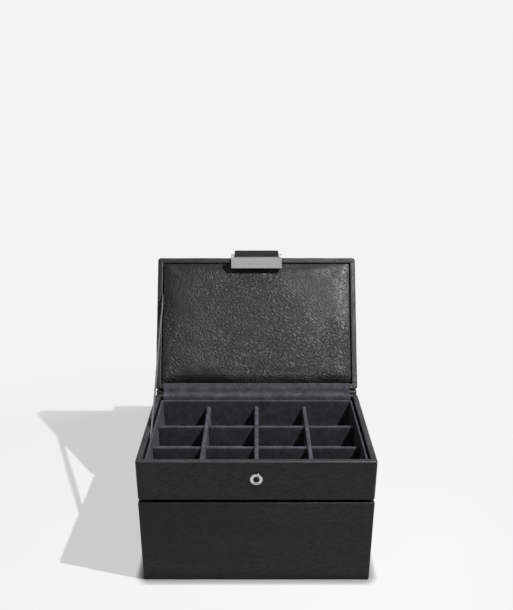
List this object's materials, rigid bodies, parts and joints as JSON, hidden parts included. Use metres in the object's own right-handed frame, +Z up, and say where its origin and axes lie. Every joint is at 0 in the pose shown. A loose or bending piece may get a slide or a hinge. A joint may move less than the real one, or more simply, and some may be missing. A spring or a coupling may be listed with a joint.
{
  "type": "cufflink box with drawer",
  "caption": "Leather-covered two-tier box: a hinged padded lid with a snap flap over a compartment insert, standing on a drawer unit.",
  "frame": {"origin": "centre of the box's footprint, on the surface it stands on", "axes": "+X to the right seen from the front, +Y to the back, +Z up; the drawer opens towards -Y"},
  "size_m": [0.18, 0.2038, 0.2204],
  "materials": {
    "case_leather": "black fine-grained leather-look cover, low sheen",
    "pad_leather": "black pebbled soft leather over foam",
    "flap_leather": "black strap leather, smooth",
    "suede": "blue-grey napped suede cloth",
    "board": "dense fibre board",
    "felt": "black pressed felt",
    "brushed_metal": "brushed nickel",
    "press_stud_metal": "polished nickel",
    "ribbon": "grey woven ribbon"
  },
  "bodies": {
    "lower_case": {"lower_side_left": "case_leather", "lower_side_right": "case_leather", "lower_back": "case_leather", "lower_floor": "board", "lower_deck": "board", "deck_lip": "case_leather", "drawer_stop": "board", "base_felt": "felt"},
    "drawer": {"drawer_front": "case_leather", "drawer_inner_front": "suede", "drawer_side_left": "suede", "drawer_side_right": "suede", "drawer_back": "suede", "drawer_floor": "suede", "drawer_pad": "suede"},
    "upper_case": {"upper_wall_front": "case_leather", "upper_wall_back": "case_leather", "upper_wall_left": "case_leather", "upper_wall_right": "case_leather", "upper_base": "board", "plinth": "case_leather", "plinth_felt": "felt", "snap_socket": "press_stud_metal", "snap_backing": "press_stud_metal", "insert_wall_front": "suede", "insert_wall_back": "suede", "insert_wall_left": "suede", "insert_wall_right": "suede", "insert_floor": "suede", "column_divider_1": "suede", "column_divider_2": "suede", "column_divider_3": "suede", "row_divider_1": "suede", "row_divider_2": "suede", "hinge_lining": "suede", "hinge_spine": "case_leather", "stay_ribbon": "ribbon"},
    "lid": {"lid_board": "case_leather", "lid_rail_hinge": "case_leather", "lid_rail_free": "case_leather", "lid_rail_left": "case_leather", "lid_rail_right": "case_leather", "lid_panel_board": "board", "lid_pad": "pad_leather", "flap_root": "flap_leather"},
    "flap_fold": {"flap_riser": "flap_leather"},
    "flap": {"flap_leather": "flap_leather"},
    "bar": {"clasp_bar": "brushed_metal", "bar_pin": "press_stud_metal", "clasp_stud": "press_stud_metal"}
  },
  "joints": [
    {"name": "drawer_slide", "type": "slide", "parent": "lower_case", "child": "drawer", "axis": [0, -1, 0], "range_m": [0, 0.0937]},
    {"name": "box_lift", "type": "slide", "parent": "lower_case", "child": "upper_case", "axis": [0, 0, 1], "range_m": [0, 0.05]},
    {"name": "lid_hinge", "type": "hinge", "parent": "upper_case", "child": "lid", "pos_m": [0, 0.0624, 0.1103], "axis": [1, 0, 0], "range_deg": [0, 122.5], "deforming": ["hinge_lining", "hinge_spine", "stay_ribbon"]},
    {"name": "riser_bend", "type": "hinge", "parent": "lid", "child": "flap_fold", "pos_m": [0, 0.13681, 0.21016], "axis": [1, 0, 0], "range_deg": [-25.51, 0]},
    {"name": "flap_lift", "type": "hinge", "parent": "flap_fold", "child": "flap", "pos_m": [0, 0.14084, 0.21649], "axis": [-1, 0, 0], "range_deg": [-3.5, 75]},
    {"name": "bar_hang", "type": "hinge", "parent": "flap", "child": "bar", "pos_m": [0, 0.11631, 0.21782], "axis": [1, 0, 0], "range_deg": [-97.59, 0]}
  ],
  "couplings": [
    {"joint": "riser_bend", "follows": "lid_hinge", "ratio": -0.2058},
    {"joint": "bar_hang", "follows": "lid_hinge", "ratio": -0.7942}
  ]
}
